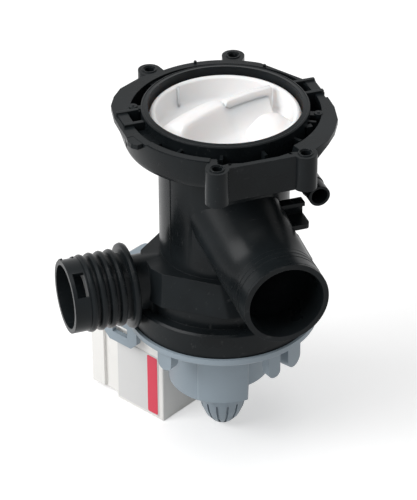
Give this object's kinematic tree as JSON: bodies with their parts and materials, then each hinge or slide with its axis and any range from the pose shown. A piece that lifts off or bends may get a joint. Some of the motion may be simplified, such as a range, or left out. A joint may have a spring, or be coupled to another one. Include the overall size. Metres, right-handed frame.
{
  "type": "washer drain pump",
  "caption": "Washing machine drain pump: filter housing with screw-in lint filter, round inlet, ribbed outlet and a synchronous motor with a white coil cover.",
  "frame": {"origin": "centre of the four ear holes, on the ears' top plane", "axes": "+Z along the filter's axis out of its mouth; -Y the way the inlet opens; -X the way the outlet opens"},
  "size_m": [0.1251, 0.1362, 0.1775],
  "materials": {
    "housing_black": "satin moulded",
    "filter_white": "satin moulded",
    "motor_grey": "satin moulded",
    "cover_white": "matte moulded",
    "seal_rubber": "matte",
    "steel": "ground",
    "bush_graphite": "matte",
    "sleeve_plastic": "satin moulded",
    "magnet_ferrite": "ground",
    "core_steel": "stamped",
    "bobbin_plastic": "satin moulded",
    "winding_copper": "enamelled",
    "tab_brass": "tinned",
    "cutout_plastic": "satin",
    "label_white": "satin film",
    "band_red": "satin print"
  },
  "bodies": {
    "housing": {"pump_housing": "housing_black", "motor_body": "motor_grey", "housing_seal": "seal_rubber", "bearing_cover": "motor_grey", "cover_screws": "steel", "front_bush": "bush_graphite", "rear_bush": "bush_graphite", "front_washer": "steel", "rear_washer": "steel", "stator_core": "core_steel", "bobbin_left": "bobbin_plastic", "bobbin_right": "bobbin_plastic", "winding_left": "winding_copper", "winding_right": "winding_copper", "coil_cover": "cover_white", "terminal_tabs": "tab_brass", "thermal_cutout": "cutout_plastic", "rating_label": "label_white", "label_band": "band_red"},
    "filter_ring": {"filter_seal": "seal_rubber"},
    "filter": {"filter_cap": "filter_white", "filter_cage": "filter_white"},
    "rotor": {"rotor_shaft": "steel", "rotor_sleeve": "sleeve_plastic", "rotor_magnet": "magnet_ferrite", "drive_dog": "sleeve_plastic"},
    "impeller": {"impeller": "sleeve_plastic"}
  },
  "joints": [
    {"name": "filter_lift", "type": "slide", "parent": "housing", "child": "filter_ring", "axis": [0, 0, 1], "range_m": [0, 0.075]},
    {"name": "filter_turn", "type": "hinge", "parent": "filter_ring", "child": "filter", "pos_m": [0, 0, -0.012], "axis": [0, 0, 1], "range_deg": [0, 270]},
    {"name": "rotor_spin", "type": "hinge", "parent": "housing", "child": "rotor", "pos_m": [-0.0013, 0.0006, -0.1265], "axis": [0, 0, 1], "continuous": true},
    {"name": "impeller_play", "type": "hinge", "parent": "rotor", "child": "impeller", "pos_m": [-0.0013, 0.0006, -0.092], "axis": [0, 0, 1], "range_deg": [-160, 0]}
  ]
}
